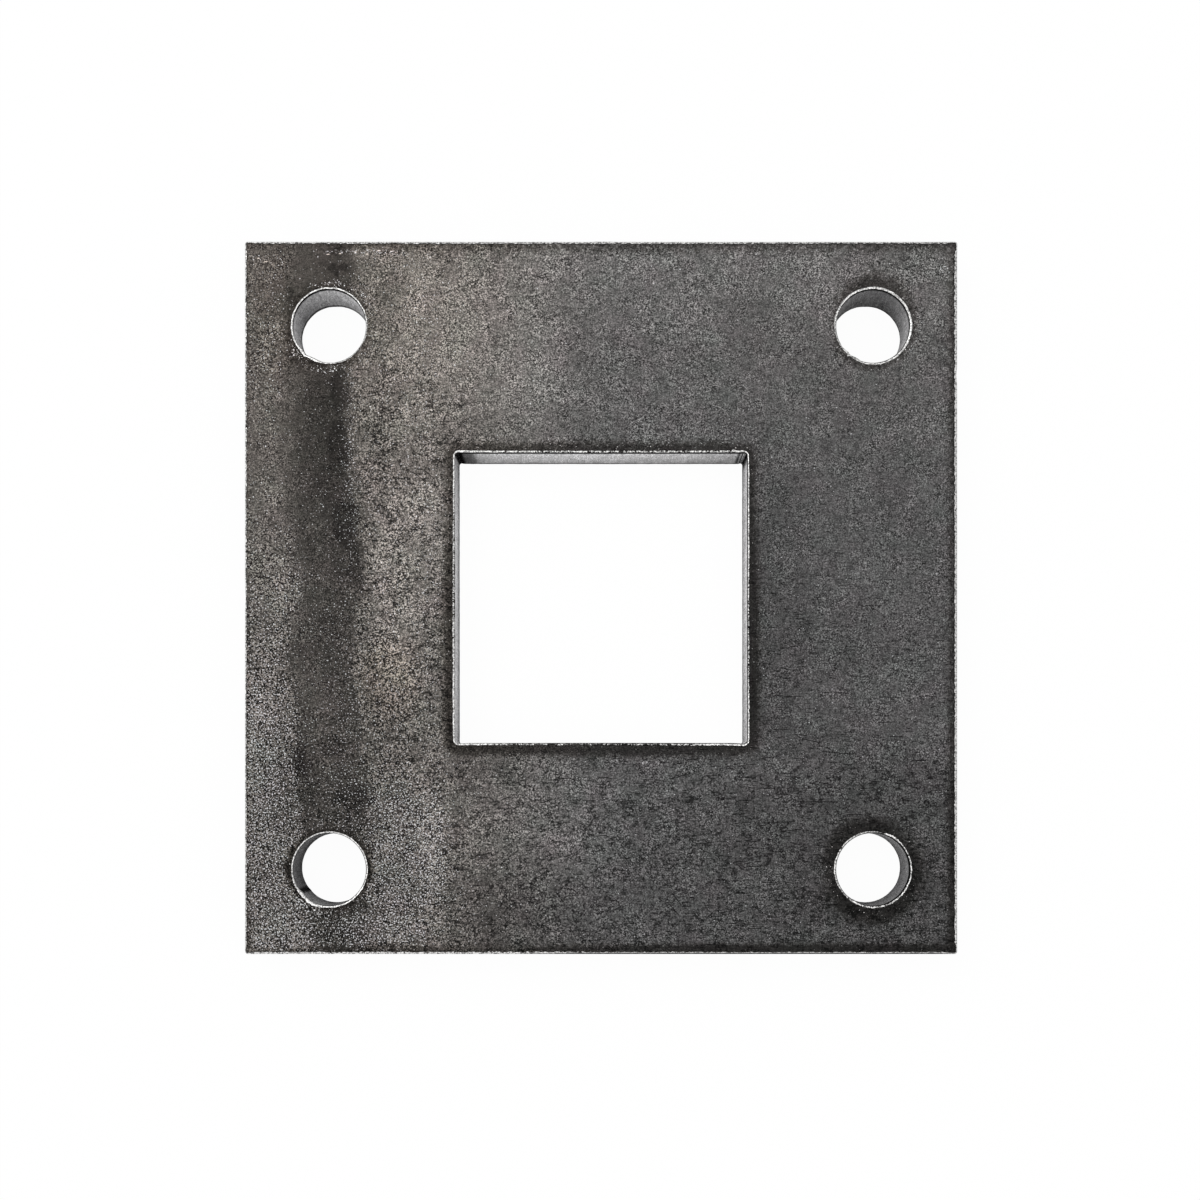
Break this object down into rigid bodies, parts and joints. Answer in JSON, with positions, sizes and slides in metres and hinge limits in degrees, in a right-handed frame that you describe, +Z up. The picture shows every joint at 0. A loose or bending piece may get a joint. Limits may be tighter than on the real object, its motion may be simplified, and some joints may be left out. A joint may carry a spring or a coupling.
{
  "type": "mounting plate",
  "caption": "Square flat steel plate with a square opening for a post and a bolt hole near each corner, cut from raw hot-rolled stock.",
  "frame": {"origin": "middle of the post opening, on the underside of the plate", "axes": "+Z up out of the upper face, +X and +Y along the sides"},
  "size_m": [0.1, 0.1, 0.006],
  "materials": {
    "mill_scale_steel": "raw hot-rolled mill scale, dull dark grey, with bright bare metal along the cut edges"
  },
  "bodies": {
    "root": {"plate": "mill_scale_steel"}
  },
  "joints": []
}
